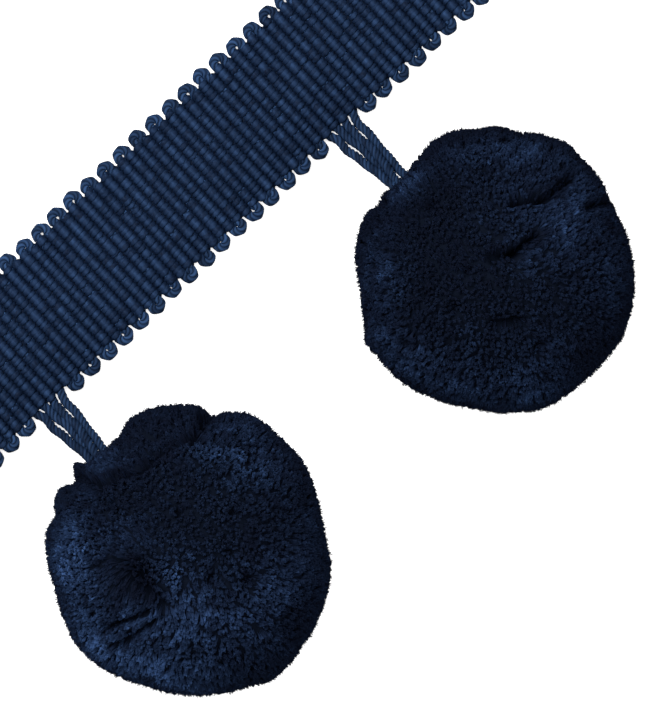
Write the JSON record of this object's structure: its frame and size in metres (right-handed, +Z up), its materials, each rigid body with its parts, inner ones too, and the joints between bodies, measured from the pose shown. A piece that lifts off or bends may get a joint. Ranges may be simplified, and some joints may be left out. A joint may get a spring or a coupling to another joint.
{
  "type": "ball fringe",
  "caption": "Ribbed tape edged with small cord loops, with round cut-yarn balls hanging from it on short cord strands, lying flat; sewn or glued on as an edging.",
  "frame": {"origin": "on the surface the fringe lies on, below the middle of the whole part in plan", "axes": "+X along the tape, +Y from the balls towards the tape, +Z up from the surface, out of the tape's face"},
  "size_m": [0.1134, 0.0694, 0.0393],
  "materials": {
    "tape": "navy warp-faced rib weave, slight sheen",
    "cord": "navy plied cord, slight sheen",
    "yarn": "dark navy cut yarn pile, matt"
  },
  "bodies": {
    "root": {"heading": "tape", "hanger_left": "cord", "hanger_right": "cord", "ball_left": "yarn", "ball_right": "yarn"}
  },
  "joints": []
}
